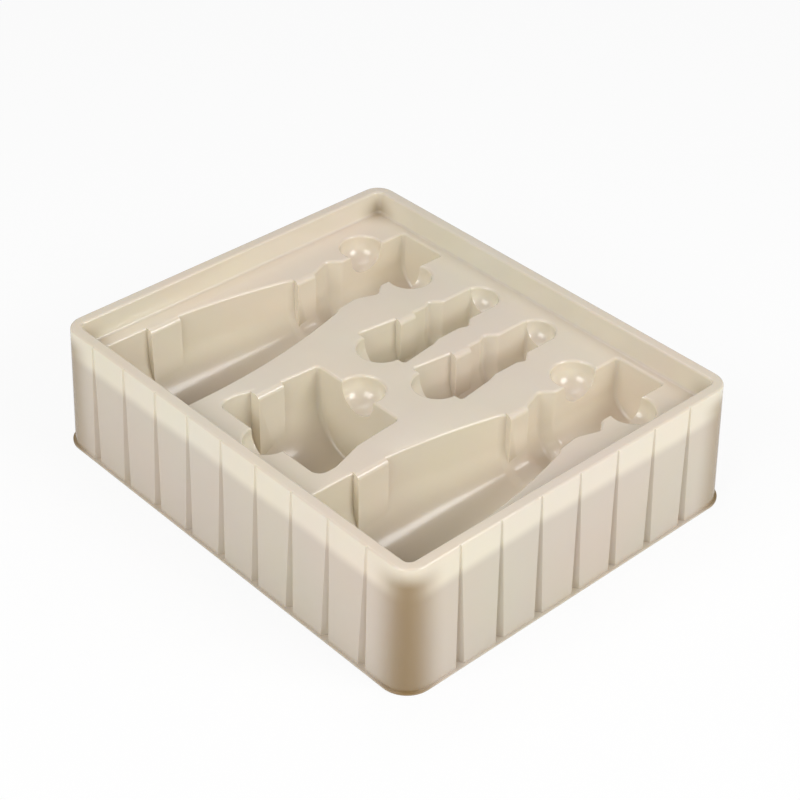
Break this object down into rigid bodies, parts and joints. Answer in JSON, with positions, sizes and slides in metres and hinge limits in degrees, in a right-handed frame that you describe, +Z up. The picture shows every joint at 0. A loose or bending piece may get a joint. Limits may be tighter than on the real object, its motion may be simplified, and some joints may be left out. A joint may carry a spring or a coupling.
{
  "type": "thermoformed plastic tray",
  "caption": "Cream vacuum-formed insert tray for a gift box, with fluted skirt and shaped beds for bottles, a jar and vials.",
  "frame": {"origin": "on the surface the tray stands on, under the middle of its outline", "axes": "+Z up, +X along the bottles from base to cap, +Y across the tray towards the second bottle"},
  "size_m": [0.218, 0.258, 0.069],
  "materials": {
    "cream_plastic": "smooth semi-gloss pearl cream"
  },
  "bodies": {
    "root": {"tray": "cream_plastic"}
  },
  "joints": []
}
